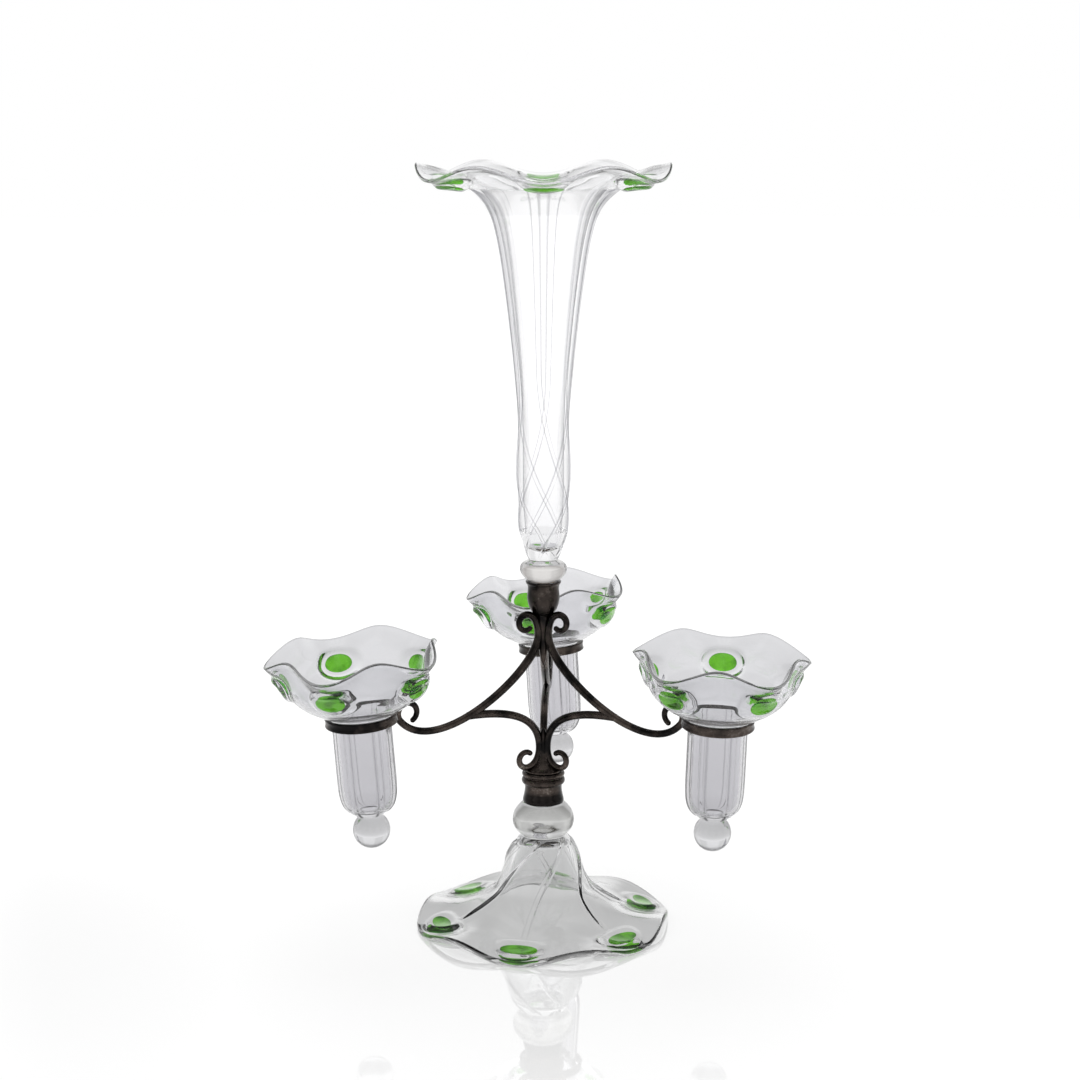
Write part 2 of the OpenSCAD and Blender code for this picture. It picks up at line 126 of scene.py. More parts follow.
def wallProfile(line, walls, edge, low):  # outer face up, round the rim and down the inner face to point low
    last = len(line) - 1
    profile = [(line[j], j, 0.0) for j in range(last + 1)]
    for turn in rimTurns:
        depth = walls[last] * (1 - math.cos(math.radians(turn))) / 2
        lift = edge * math.sin(math.radians(turn))
        spot = line[last] - outward(line, last) * depth + along(line, last) * lift
        profile.append((spot, last, depth / walls[last]))
    for j in range(last, low - 1, -1):
        profile.append((line[j] - outward(line, j) * walls[j], j, 1.0))
    return profile


def offPrunt(angle, lobes, turn):  # angle to the nearest prunt, in degrees
    pitch = 360 / lobes
    x = (math.degrees(angle) - turn) / pitch
    return (x - round(x)) * pitch


def ribs(angle, count, turn, flat, flank):  # 1 on a rib's flat top, 0 between two
    return 1 - ease((abs(offPrunt(angle, count, turn)) - flat) / flank)


def gather(angle, count, turn, twist, pull=1.6):  # draws the mesh's columns to the ribs and twists them along
    off = offPrunt(angle, count, turn)
    half = 180 / count
    return angle + math.radians(math.copysign(half * (abs(off) / half) ** pull, off) - off - twist)


def flankOf(rib):  # 1 halfway down a rib's flank
    return 4 * rib * (1 - rib)


def bossAt(up, across, wide, high, flat=0.7, shoulder=0.5):  # flat over the prunt, then a steep shoulder
    return 1 - ease((math.hypot(across / wide, up / high) - flat) / shoulder)


def copyPiece(piece, name, matrix):
    twin = piece.copy()
    twin.data = piece.data.copy()
    twin.name = twin.data.name = name
    bpy.context.collection.objects.link(twin)
    twin.data.transform(matrix)
    return twin


def joinPieces(name, pieces):
    clearSelection()
    for piece in pieces:
        piece.select_set(True)
    bpy.context.view_layer.objects.active = pieces[0]
    bpy.ops.object.join()
    piece = bpy.context.active_object
    piece.name = piece.data.name = name
    return piece


def dress(piece, material, body, slot, *nodes):
    piece.data.materials.clear()
    piece.data.materials.append(material)
    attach(piece, body)
    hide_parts(*nodes)


# materials

class Wire:
    def __init__(self, tree, socket=None):
        self.tree = tree
        self.socket = socket

    def make(self, kind, settings=None, sockets=None, out=0):
        node = self.tree.nodes.new(kind)
        for key, value in (settings or {}).items():
            if key == "stops":
                ramp = node.color_ramp
                ramp.elements[0].position, ramp.elements[0].color = value[0]
                ramp.elements[-1].position, ramp.elements[-1].color = value[-1]
                for place, colour in value[1:-1]:
                    ramp.elements.new(place).color = colour
            else:
                setattr(node, key, value)
        for key, value in (sockets or {}).items():
            if isinstance(value, Wire):
                self.tree.links.new(value.socket, node.inputs[key])
            else:
                node.inputs[key].default_value = value
        return Wire(self.tree, node.outputs[out] if len(node.outputs) else None)

    def maths(self, operation, a, b):
        return self.make("ShaderNodeMath", {"operation": operation}, {0: a, 1: b})

    def __add__(self, other):
        return self.maths("ADD", self, other)

    def __sub__(self, other):
        return self.maths("SUBTRACT", self, other)

    def __rsub__(self, other):
        return self.maths("SUBTRACT", other, self)

    def __mul__(self, other):
        return self.maths("MULTIPLY", self, other)

    def __truediv__(self, other):
        return self.maths("DIVIDE", self, other)

    def __pow__(self, other):
        return self.maths("POWER", self, other)

    __radd__ = __add__
    __rmul__ = __mul__

    def clamp(self):
        return self.make("ShaderNodeClamp", None, {"Value": self})

    def mixColour(self, a, b):  # a where this is 0, b where it is 1
        return self.make("ShaderNodeMix", {"data_type": "RGBA"}, {0: self, 6: a, 7: b}, out=2)

    def ramp(self, *stops):
        return self.make("ShaderNodeValToRGB", {"stops": stops}, {"Fac": self})

    def within(self, low, high, sharp):  # 1 between low and high
        return ((self - low) * sharp).clamp() * ((high - self) * sharp).clamp()


def newMaterial(name):
    material = bpy.data.materials.new(name)
    material.use_nodes = True
    material.node_tree.nodes.clear()
    return material, Wire(material.node_tree)


def grey(v):
    return (v, v, v, 1)


softEdge, hardEdge = 400, 900  # how fast a band of other glass sets in, per metre of height
posyLook = {
    "clear": (0.85, 0.851, 0.872, 1), "middle": (0.8, 0.803, 0.82, 1), "edge": (0.58, 0.58, 0.59, 1),
    "line": (0.38, 0.375, 0.395, 1), "ior": 1.42, "glow": 0.12, "knop": (0.0, 0.083),
    "solid": (0.74, 0.74, 0.755, 1), "solidEdge": (0.25, 0.25, 0.26, 1), "shade": 0,
    "band": (-0.1, 0.139), "bandTint": (0.83, 0.823, 0.848, 1)}
trumpetLook = {
    "clear": (0.95, 0.951, 0.958, 1), "middle": (0.9, 0.902, 0.91, 1), "edge": (0.55, 0.55, 0.56, 1),
    "line": (0.6, 0.6, 0.62, 1), "ior": 1.33, "glow": 0.08, "knop": (0.2088, 0.2208),
    "solid": (0.74, 0.725, 0.71, 1), "solidEdge": (0.3, 0.28, 0.27, 1), "shade": 0.55,
    "thin": (0.238, 0.436), "thinClear": (0.998, 0.998, 1, 1), "thinEdge": (0.42, 0.42, 0.45, 1),
    "thinLine": 0.6, "dimBelow": 0.3, "thinGloss": 0.3}
footLook = {
    "clear": (0.82, 0.823, 0.823, 1), "middle": (0.79, 0.793, 0.795, 1), "edge": (0.62, 0.62, 0.63, 1),
    "line": (0.6, 0.6, 0.61, 1), "ior": 1.4, "glow": 0.14, "knop": (0.0598, 0.0752),
    "solid": (0.47, 0.47, 0.455, 1), "solidEdge": (0.2, 0.2, 0.19, 1), "shade": 0.4,
    "band": (0.022, 0.0565), "bandTint": (0.92, 0.923, 0.925, 1)}


def makeClearGlass(name, look):
    material, start = newMaterial(name)
    facing = start.make("ShaderNodeLayerWeight", None, {"Blend": 0.5}, out="Facing")
    line = start.make("ShaderNodeAttribute", {"attribute_name": "line"}, out="Fac")  # on both flanks of a rib
    spot = start.make("ShaderNodeTexCoord", out="Object")
    height = start.make("ShaderNodeSeparateXYZ", None, {0: spot}, out="Z")
    # painted shade: the glass turns greyer towards its outline, where its face turns from the eye
    colour = facing.ramp(
        (0.0, look["clear"]), (0.5, look["clear"]), (0.8, look["middle"]), (1.0, look["edge"]))
    if "band" in look:  # painted shade and painted light: the same glass is tinted darker over a flute than over its bowl, and lighter over the foot's dome than over its rim
        colour = (height.within(*look["band"], softEdge) * 0.7).mixColour(colour, look["bandTint"])
    # painted shade along both flanks of each rib
    colour = line.mixColour(colour, look["line"])
    low, high = look["knop"]
    inside = height.within(low, high, hardEdge)
    # painted shade on a solid knop, over the deeper tint of its solid glass: darker towards its top, and
    # towards its edges by the ramp below
    shade = facing + (height - low) * (look["shade"] / (high - low))  # a solid knop is darker towards its top
    solid = shade.ramp(
        (0.0, look["solid"]), (0.5, look["solid"]), (0.78, look["solidEdge"]), (1.0, look["edge"]))
    colour = inside.mixColour(colour, solid)
    glow = facing.ramp((0.0, grey(0)), (0.5, grey(0)), (1.0, grey(look["glow"])))  # light caught by the edges
    glow = (inside * 0.7).mixColour(glow, grey(0))
    swirl = start.make("ShaderNodeTexNoise", None, {
        "Vector": spot, "Scale": 55.0, "Detail": 2.0, "Distortion": 0.6})
    bump = start.make("ShaderNodeBump", None, {"Strength": 0.05, "Distance": 0.002, "Height": swirl})
    shader = start.make("ShaderNodeBsdfPrincipled", None, {
        "Base Color": colour, "Roughness": 0.0, "IOR": look["ior"], "Transmission Weight": 1.0,
        "Normal": bump, "Emission Color": glow, "Emission Strength": 1.0})
    if "thin" in look:  # the long tube hardly bends the light, and only its edges and ribs show
        # painted shade: the tube's edges, rib flanks and lower end are made darker
        edge = ((facing - 0.2) * 1.25).clamp() ** 4 + line * look["thinLine"]
        edge = edge + (look["dimBelow"] - height).clamp()  # and its lower end, where the ribs crowd
        pale = start.make("ShaderNodeBsdfTransparent", None, {"Color": look["thinClear"]})
        dark = start.make("ShaderNodeBsdfTransparent", None, {"Color": look["thinEdge"]})
        gloss = start.make("ShaderNodeBsdfGlossy", None, {"Color": grey(1), "Roughness": 0.0, "Normal": bump})
        shine = start.make("ShaderNodeFresnel", None, {"IOR": 1.45, "Normal": bump})
        thin = start.make("ShaderNodeMixShader", None, {0: edge.clamp(), 1: pale, 2: dark})
        thin = start.make("ShaderNodeMixShader", None, {0: shine * look["thinGloss"], 1: thin, 2: gloss})
        where = height.within(*look["thin"], hardEdge)
        shader = start.make("ShaderNodeMixShader", None, {0: where, 1: shader, 2: thin})
    start.make("ShaderNodeOutputMaterial", None, {"Surface": shader})
    return material


greenLook = {"bright": (0.2, 0.66, 0.045, 1), "deep": (0.015, 0.13, 0.008, 1),
             "ior": 1.08}  # low, because the prunts lie inside clear glass


def makeGreenGlass():
    material, start = newMaterial("greenPruntGlass")
    facing = start.make("ShaderNodeLayerWeight", None, {"Blend": 0.5}, out="Facing")
    spot = start.make("ShaderNodeTexCoord", out="Object")
    cloud = start.make("ShaderNodeTexNoise", None, {"Vector": spot, "Scale": 140.0, "Detail": 2.0})
    # partly painted shade: the green deepens where its face turns from the eye; partly random tone from the
    # noise
    deep = (facing * 0.6 + (cloud - 0.5) * 2.6 + 0.05).clamp()
    colour = deep.mixColour(greenLook["bright"], greenLook["deep"])
    shader = start.make("ShaderNodeBsdfPrincipled", None, {
        "Base Color": colour, "Roughness": 0.02, "IOR": greenLook["ior"], "Transmission Weight": 1.0})
    start.make("ShaderNodeOutputMaterial", None, {"Surface": shader})
    return material


plateLook = {"tarnish": (0.01, 0.0095, 0.0095, 1), "brown": (0.085, 0.068, 0.059, 1),
             "worn": (0.34, 0.31, 0.28, 1), "blackZ": 0.082, "cupZ": 0.19}


def makeTarnishedPlate():
    material, start = newMaterial("tarnishedSilverPlate")
    spot = start.make("ShaderNodeTexCoord", out="Object")
    height = start.make("ShaderNodeSeparateXYZ", None, {0: spot}, out="Z")
    cloud = start.make("ShaderNodeTexNoise", None, {
        "Vector": spot, "Scale": 60.0, "Detail": 4.0, "Roughness": 0.55})
    speck = start.make("ShaderNodeTexNoise", None, {
        "Vector": spot, "Scale": 700.0, "Detail": 3.0, "Roughness": 0.7})
    patchShare = ((height - plateLook["blackZ"]) * 400 + 0.5).clamp() * 0.9 + 0.1  # the ferrule's end is black
    patchShare = patchShare * (1 - ((height - plateLook["cupZ"]) * 300).clamp() * 0.25)  # and the socket's cup is dark
    brown = ((cloud - 0.4) * 4).clamp() * patchShare
    worn = ((speck * 0.4 + cloud * 0.6 - 0.58) * 7).clamp() * patchShare
    colour = brown.mixColour(plateLook["tarnish"], plateLook["brown"])
    colour = (worn * 0.7).mixColour(colour, plateLook["worn"])
    rough = 0.22 - worn * 0.06 + brown * 0.08
    bump = start.make("ShaderNodeBump", None, {"Strength": 0.1, "Distance": 0.0004, "Height": speck})
    shader = start.make("ShaderNodeBsdfPrincipled", None, {
        "Base Color": colour, "Metallic": 1.0, "Roughness": rough, "Normal": bump})
    start.make("ShaderNodeOutputMaterial", None, {"Surface": shader})
    return material


def makeGrainy(name, pale, dark, scale, roughness):  # cork and plaster
    material, start = newMaterial(name)
    spot = start.make("ShaderNodeTexCoord", out="Object")
    grain = start.make("ShaderNodeTexNoise", None, {"Vector": spot, "Scale": scale, "Detail": 4.0})
    colour = ((grain - 0.35) * 3).clamp().mixColour(pale, dark)
    bump = start.make("ShaderNodeBump", None, {"Strength": 0.4, "Distance": 0.0005, "Height": grain})
    shader = start.make("ShaderNodeBsdfPrincipled", None, {
        "Base Color": colour, "Roughness": roughness, "Normal": bump})
    start.make("ShaderNodeOutputMaterial", None, {"Surface": shader})
    return material


footGlass = makeClearGlass("footGlass", footLook)
trumpetGlass = makeClearGlass("trumpetGlass", trumpetLook)
posyGlass = makeClearGlass("posyGlass", posyLook)
greenGlass = makeGreenGlass()
tarnishedPlate = makeTarnishedPlate()
rawCork = makeGrainy("rawCork", (0.5, 0.3, 0.15, 1), (0.2, 0.1, 0.05, 1), 500.0, 0.8)
dryPlaster = makeGrainy("dryPlaster", (0.78, 0.74, 0.66, 1), (0.6, 0.55, 0.48, 1), 300.0, 0.95)
print("materials ready")


# prunts: flattened blobs of green glass on the outer face

prunt = {"segments": 36, "rings": 18, "backFlat": 0.6}


def shapePrunt(wide, high, thick):
    clearSelection()
    bpy.ops.mesh.primitive_uv_sphere_add(segments=prunt["segments"], ring_count=prunt["rings"], radius=mm)
    piece = bpy.context.active_object
    bpy.ops.object.mode_set(mode="EDIT")
    bpy.ops.mesh.select_all(action="SELECT")
    bpy.ops.transform.resize(value=(high, wide, thick))
    bpy.ops.mesh.select_all(action="DESELECT")
    bpy.ops.object.mode_set(mode="OBJECT")
    for v in piece.data.vertices:
        v.select = v.co.z < -0.01 * mm
    bpy.ops.object.mode_set(mode="EDIT")
    bpy.ops.transform.resize(value=(1, 1, prunt["backFlat"]), center_override=(0, 0, 0))
    bpy.ops.object.mode_set(mode="OBJECT")
    bpy.ops.object.shade_smooth()
    return piece


def setPrunts(name, look, line, seat, shift, turn, matrix=Matrix()):  # each is sunk into its boss
    out = outward(line, seat)
    spot = line[seat] + shift + out * (look["swell"] - look["sunk"])
    blob = shapePrunt(look["pruntWide"], look["pruntHigh"], look["pruntThick"])
    tilt = Matrix.Rotation(math.atan2(out.x, out.y), 4, "Y")
    place = Matrix.Translation(Vector((spot.x, 0, spot.y)) * mm) @ tilt
    copies = []
    for k in range(look["lobes"]):
        spin = Matrix.Rotation(math.radians(turn + 360 * k / look["lobes"]), 4, "Z")
        copies.append(copyPiece(blob, name + str(k), matrix @ spin @ place))
    bpy.data.objects.remove(blob)
    return joinPieces(name, copies)


# foot with its knop and peg

foot = {
    "lobes": 6, "turn": 19.5, "wave": 2.5, "push": 1.5, "waveIn": 33.0, "waveOut": 60.0, "wall": 4.0,
    "rim": 5.5, "rimRound": 1.5, "domeH": 4.0, "knopZ": 55.0, "groundZ": 0.05, "swell": 2.8,
    "bossWide": 14.5, "bossHigh": 10.0, "rib": 1.4, "ribWidth": 1.8, "ribFlat": 0.5, "ribFlank": 0.7,
    "twist": -68.0, "twistPower": 2.3, "pruntWide": 10.6, "pruntHigh": 5.2, "pruntThick": 0.9,
    "sunk": 2.0, "steps": 288}


def buildFoot():
    rim = foot["rim"]
    line = smoothLine([
        (73.5, rim), (68, rim + 0.2), (61, rim + 0.7), (53, rim + 2.2), (46, rim + 4.8), (39, rim + 8.2),
        (32.6, rim + 12.8), (29, 22), (26.4, 27), (24.2, 33), (22, 39), (19.7, 44.5), (17.2, 49.5),
        (14.9, 53.4), (13.2, 55.6)], [6, 7, 7, 7, 7, 6, 4, 4, 4, 4, 4, 4, 4, 3])
    last = len(line) - 1
    seat = nearest(line, (61, rim + 0.7))
    top = nearest(line, (17.2, 49.5))  # the hollow's wall ends here, and a small dome closes it
    inner = line[top] - outward(line, top) * foot["wall"]
    profile = []
    for t in range(90, 0, -12):
        a = math.radians(t)
        profile.append((Vector((inner.x * math.cos(a), inner.y + foot["domeH"] * math.sin(a))), None, 0.0))
    for j in range(top, -1, -1):
        profile.append((line[j] - outward(line, j) * foot["wall"], j, 1.0))
    for t in rimTurns:
        depth = foot["wall"] * (1 + math.cos(math.radians(t))) / 2
        bulge = foot["rimRound"] * math.sin(math.radians(t))
        profile.append((line[0] - outward(line, 0) * depth - along(line, 0) * bulge, 0, depth / foot["wall"]))
    profile += [(line[j], j, 0.0) for j in range(last + 1)]
    knop = smoothLine([
        (13.2, 55.6), (13.8, 56.4), (15.6, 57.6), (17.3, 60.2), (18.1, 63), (18.1, 66), (17.1, 69.4),
        (15.1, 72.2), (12.9, 74.4), (11.2, 75)], 4)
    peg = ((9.2, 75.1), (7.5, 75.4), (7.5, 82), (7.5, 88), (7.0, 89.3), (0, 89.4))
    profile += [(p, None, 0.0) for p in knop[1:]]
    profile += [(Vector(p), None, 0.0) for p in peg]

    def place(spot, angle):
        point, j, depth = spot
        x, y = point
        k = j if j is not None else last if y > foot["knopZ"] else top
        up = (line[k].y - foot["rim"]) / (line[last].y - foot["rim"])
        twist = foot["twist"] * max(0, up) ** foot["twistPower"]
        angle = gather(angle, foot["lobes"], foot["turn"], twist)
        flank = 0.0
        if j is not None:
            wave = math.cos(foot["lobes"] * (angle - math.radians(foot["turn"])))
            fade = rise(line[j].x, foot["waveIn"], foot["waveOut"])
            across = math.radians(offPrunt(angle, foot["lobes"], foot["turn"])) * x
            boss = bossAt((line[j] - line[seat]).length, across, foot["bossWide"], foot["bossHigh"])
            wide = math.degrees(foot["ribWidth"] / x)
            flat, side = wide * foot["ribFlat"], wide * foot["ribFlank"]
            rib = ribs(angle, foot["lobes"], foot["turn"] - twist, flat, side)
            fading = ease(9 * up - 0.3) * ease(8 - 8 * up) * (1 - depth)  # ribs end short of rim and knop
            flank = flankOf(rib) * fading
            lift = foot["swell"] * boss + foot["rib"] * fading * rib
            out = outward(line, j) * lift * (1 - depth)
            x += out.x + wave * fade * foot["push"]
            y = max(foot["groundZ"], y + out.y - wave * fade * foot["wave"])  # dips are ground flat
        return x * math.cos(angle), x * math.sin(angle), y, flank

    piece = blowGlass("footGlass", profile, foot["steps"], place)
    dress(piece, footGlass, "stand", "clear_glass", "foot", "foot_knop")
    shift = Vector((foot["push"], -foot["wave"])) * rise(line[seat].x, foot["waveIn"], foot["waveOut"])
    green = setPrunts("footPrunts", foot, line, seat, shift, foot["turn"])
    dress(green, greenGlass, "stand", "green_glass", "foot_prunts")
    print("foot:", len(piece.data.polygons), "faces")


# ferrule, cap and socket, turned on the lathe

turned = {"steps": 96}


def buildFerrule():
    shell = smoothLine([
        (9.4, 75.1), (11.4, 75.05), (12, 75.6), (12.1, 77), (11.6, 79.2), (11.05, 82), (10.9, 84.4),
        (11.1, 86.2)], 4)
    bead = []
    for turn in range(-80, 81, 10):
        a = math.radians(turn)
        bead.append((10.9 + 1.9 * math.cos(a), 88.5 + 2.1 * math.sin(a)))
    flange = smoothLine([
        (11.3, 90.7), (11.5, 91.3), (12.3, 91.7), (12.6, 92.5), (12.3, 93.4), (11.4, 93.9), (9.3, 93.95)], 4)
    bore = [(9.3, 90), (9.3, 75.3), (9.4, 75.1)]
    piece = spinLine("ferruleSleeve", shell + bead + flange + bore, turned["steps"])
    dress(piece, tarnishedPlate, "stand", "tarnished_plate", "ferrule")
    packing = [(7.65, 75.6), (9.2, 75.4), (9.2, 89.2), (7.65, 89), (7.65, 75.6)]
    piece = spinLine("ferrulePlaster", packing, turned["steps"])
    dress(piece, dryPlaster, "stand", "plaster", "ferrule_packing")
    cap = smoothLine([
        (0, 94.05), (6, 94.05), (10.3, 94.1), (10.9, 94.7), (10.6, 95.3), (9.6, 95.9), (7.8, 97.4),
        (5.8, 100.2), (4.2, 104), (3.2, 109), (2.4, 114), (1.2, 119), (0, 120.2)], 4)
    piece = spinLine("frameCap", cap, turned["steps"])
    dress(piece, tarnishedPlate, "stand", "tarnished_plate", "frame_cap")


def buildSocket():
    urn = smoothLine([
        (0, 158), (1.2, 160), (2.4, 166), (3.1, 174), (3.5, 182), (4.2, 187), (5.6, 189.4), (6.8, 190.6),
        (8.2, 193), (9.2, 196.4), (9.5, 199.4), (9.2, 202.6), (9.1, 204.8), (9.4, 206.6), (10.1, 207.6),
        (10.3, 208.3), (10.1, 208.9), (8, 208.95)], 4)
    bore = [(7.4, 208.6), (7.2, 208), (7.2, 194.5), (0, 194.5)]
    piece = spinLine("trumpetSocket", urn + bore, turned["steps"])
    dress(piece, tarnishedPlate, "stand", "tarnished_plate", "socket")
    print("ferrule, cap and socket turned")


# scrolls, braces and rings

arm = {
    "reach": 116.2, "ringZ": 142.0, "ringH": 5.6, "ringOut": 20.7, "hook": (87.40, 140.21), "lead": 40,
    "turn": {"left": 210, "right": 330, "back": 90}, "droop": {"left": 4.5, "right": 3.0, "back": 1.5},
    "lean": {"left": -0.5, "right": -1.5, "back": 3.5}, "curlR": 5.1, "curlOut": 11.25, "upperZ": 184.64,
    "lowerZ": 102.35, "stemR": 3.09, "braceR": 2.63, "roundness": 5,
    "scrollRods": (1.6, 2.1, 2.6), "braceRods": (1.6, 1.9, 2.2, 2.4)}  # radii, from the curl's tip on


def ringPlace(side):
    back = Matrix.Translation(Vector((arm["ringOut"], 0, arm["ringH"] / 2)) * mm)
    tilt = Matrix.Rotation(math.radians(arm["droop"][side]), 4, "Y")
    tilt = tilt @ Matrix.Rotation(math.radians(-arm["lean"][side]), 4, "X")
    hold = Matrix.Translation(Vector((arm["reach"] - arm["ringOut"], 0, arm["ringZ"])) * mm)
    return Matrix.Rotation(math.radians(arm["turn"][side]), 4, "Z") @ hold @ tilt @ back


def curl(centre, start, end, small, large, thin, thick, steps):  # spiral of [reach, height, rod's radius]
    path = []
    for s in range(steps + 1):
        t = s / steps
        a = math.radians(start + (end - start) * t)
        r = small + (large - small) * t
        rod = thin + (thick - thin) * t
        path.append(Vector((centre[0] + r * math.cos(a), centre[1] + r * math.sin(a), rod)))
    return path


def bend(a, b, c, d, thin, thick, steps):  # curve from a to d with handles b and c, without its first point
    path = []
    for k in range(1, steps + 1):
        t = k / steps
        s = 1 - t
        q = Vector(a) * s ** 3 + Vector(b) * 3 * s * s * t + Vector(c) * 3 * s * t * t + Vector(d) * t ** 3
        path.append(Vector((q.x, q.y, thin + (thick - thin) * ease(t))))
    return path


def drawRod(name, line):  # a round rod along [reach, height, radius] of an arm, rounded off at both ends
    ends = []
    for tip, inner in ((line[0], line[1]), (line[-1], line[-2])):
        away = Vector((tip.x - inner.x, tip.y - inner.y)).normalized()
        ends.append([Vector((tip.x + away.x * tip.z * math.sin(t), tip.y + away.y * tip.z * math.sin(t),
                             tip.z * max(0.02, math.cos(t)))) for t in (0.3, 0.6, 0.9, 1.2, 1.4, 1.57)])
    spots = ends[0][::-1] + line + ends[1]
    clearSelection()
    bpy.ops.curve.primitive_bezier_curve_add()
    rod = bpy.context.active_object
    rod.data.splines.clear()
    spline = rod.data.splines.new("POLY")
    spline.points.add(len(spots) - 1)
    for point, spot in zip(spline.points, spots):
        point.co = (spot.x * mm, 0, spot.y * mm, 1)
        point.radius = spot.z
    rod.data.dimensions = "3D"
    rod.data.bevel_depth = mm
    rod.data.bevel_resolution = arm["roundness"]
    rod.data.use_fill_caps = True
    bpy.ops.object.convert(target="MESH")
    rod = bpy.context.active_object
    bpy.ops.object.mode_set(mode="EDIT")
    bpy.ops.mesh.select_all(action="SELECT")
    bpy.ops.mesh.remove_doubles(threshold=1e-6)
    bpy.ops.mesh.normals_make_consistent(inside=False)
    bpy.ops.object.mode_set(mode="OBJECT")
    bpy.ops.object.shade_smooth()
    rod.name = rod.data.name = name
    return rod


def buildArms():
    r, out, stem = arm["curlR"], arm["curlOut"], arm["stemR"]
    tip, neck, body = arm["scrollRods"]
    upper = curl((out, arm["upperZ"]), -125, 100, 0.82 * r, r, tip, neck, 24)
    hook = curl(arm["hook"], -arm["lead"], 235, 1.25 * r, 1.08 * r, neck, tip, 28)
    top = arm["upperZ"] - 1.5 * r
    lead = math.radians(arm["lead"])
    a, b = upper[-1].xy, hook[0].xy
    sweep = ((stem, top), (stem, top - 0.6 * (top - arm["ringZ"])),
             (b.x - 7 * r * math.sin(lead), b.y - 7 * r * math.cos(lead)), b)
    scroll = drawRod("scrollRod", upper
        + bend(a, (a.x - 0.9 * r, a.y - 0.16 * r), (stem, top + 1.4 * r), (stem, top), neck, body, 12)
        + bend(*sweep, body, neck, 44) + hook[1:])
    land = bend(*sweep, body, neck, 50)[28].xy  # where the brace is soldered to the scroll
    tip, neck, body, end = arm["braceRods"]
    lower = curl((out, arm["lowerZ"]), 125, -100, 0.82 * r, r, tip, neck, 24)
    low = arm["lowerZ"] + 1.2 * r
    a, stem = lower[-1].xy, arm["braceR"]
    brace = drawRod("braceRod", lower
        + bend(a, (a.x - 0.9 * r, a.y + 0.16 * r), (stem, low - 1.2 * r), (stem, low), neck, body, 12)
        + bend((stem, low), (stem, low + 0.78 * (land.y - low)), (land.x * 0.45, land.y), land,
               body, end, 32))
    hoop = [
        (18.7, -4.9), (18.9, -5.4), (19.4, -5.6), (20.1, -5.55), (20.6, -5.2), (20.7, -4.7), (20.4, -4.1),
        (20.35, -2.8), (20.4, -1.5), (20.7, -0.9), (20.6, -0.4), (20.1, -0.08), (19.4, -0.02),
        (18.9, -0.2), (18.7, -0.7), (18.65, -2.8)]
    ring = spinLine("ringBand", hoop + hoop[:1], turned["steps"])
    for side in sides:
        spin = Matrix.Rotation(math.radians(arm["turn"][side]), 4, "Z")
        for piece, node, ending, matrix in (
                (scroll, "scroll_" + side, "_rod", spin), (brace, "brace_" + side, "_rod", spin),
                (ring, "ring_" + side, "_band", ringPlace(side))):
            twin = copyPiece(piece, node + ending, matrix)
            dress(twin, tarnishedPlate, "stand", "tarnished_plate", node)
    for piece in (scroll, brace, ring):
        bpy.data.objects.remove(piece)
    print("scrolls, braces and rings set")


# trumpet with its knop and peg

trumpet = {
    "lobes": 6, "turn": 272.5, "wave": 4.1, "push": 0.6, "waveIn": 30.0, "waveOut": 71.0, "wall": 2.8,
    "rimThin": 0.9, "thinIn": 55.0, "rimRound": 0.8, "hollowLow": 6, "hollowDip": 3.0, "swell": 2.6,
    "bossWide": 14.5, "bossHigh": 9.0, "rib": 1.2, "ribR": 15.0, "ribFlat": 3.0, "ribFlank": 3.2,
    "ribStart": 8.0, "ribOut": 52.0, "ribFade": 20.0, "ribTurn": 9.0, "twist": 150.0, "twistTop": 330.0,
    "pruntWide": 11.0, "pruntHigh": 6.5, "pruntThick": 1.5, "sunk": 1.9, "steps": 264}


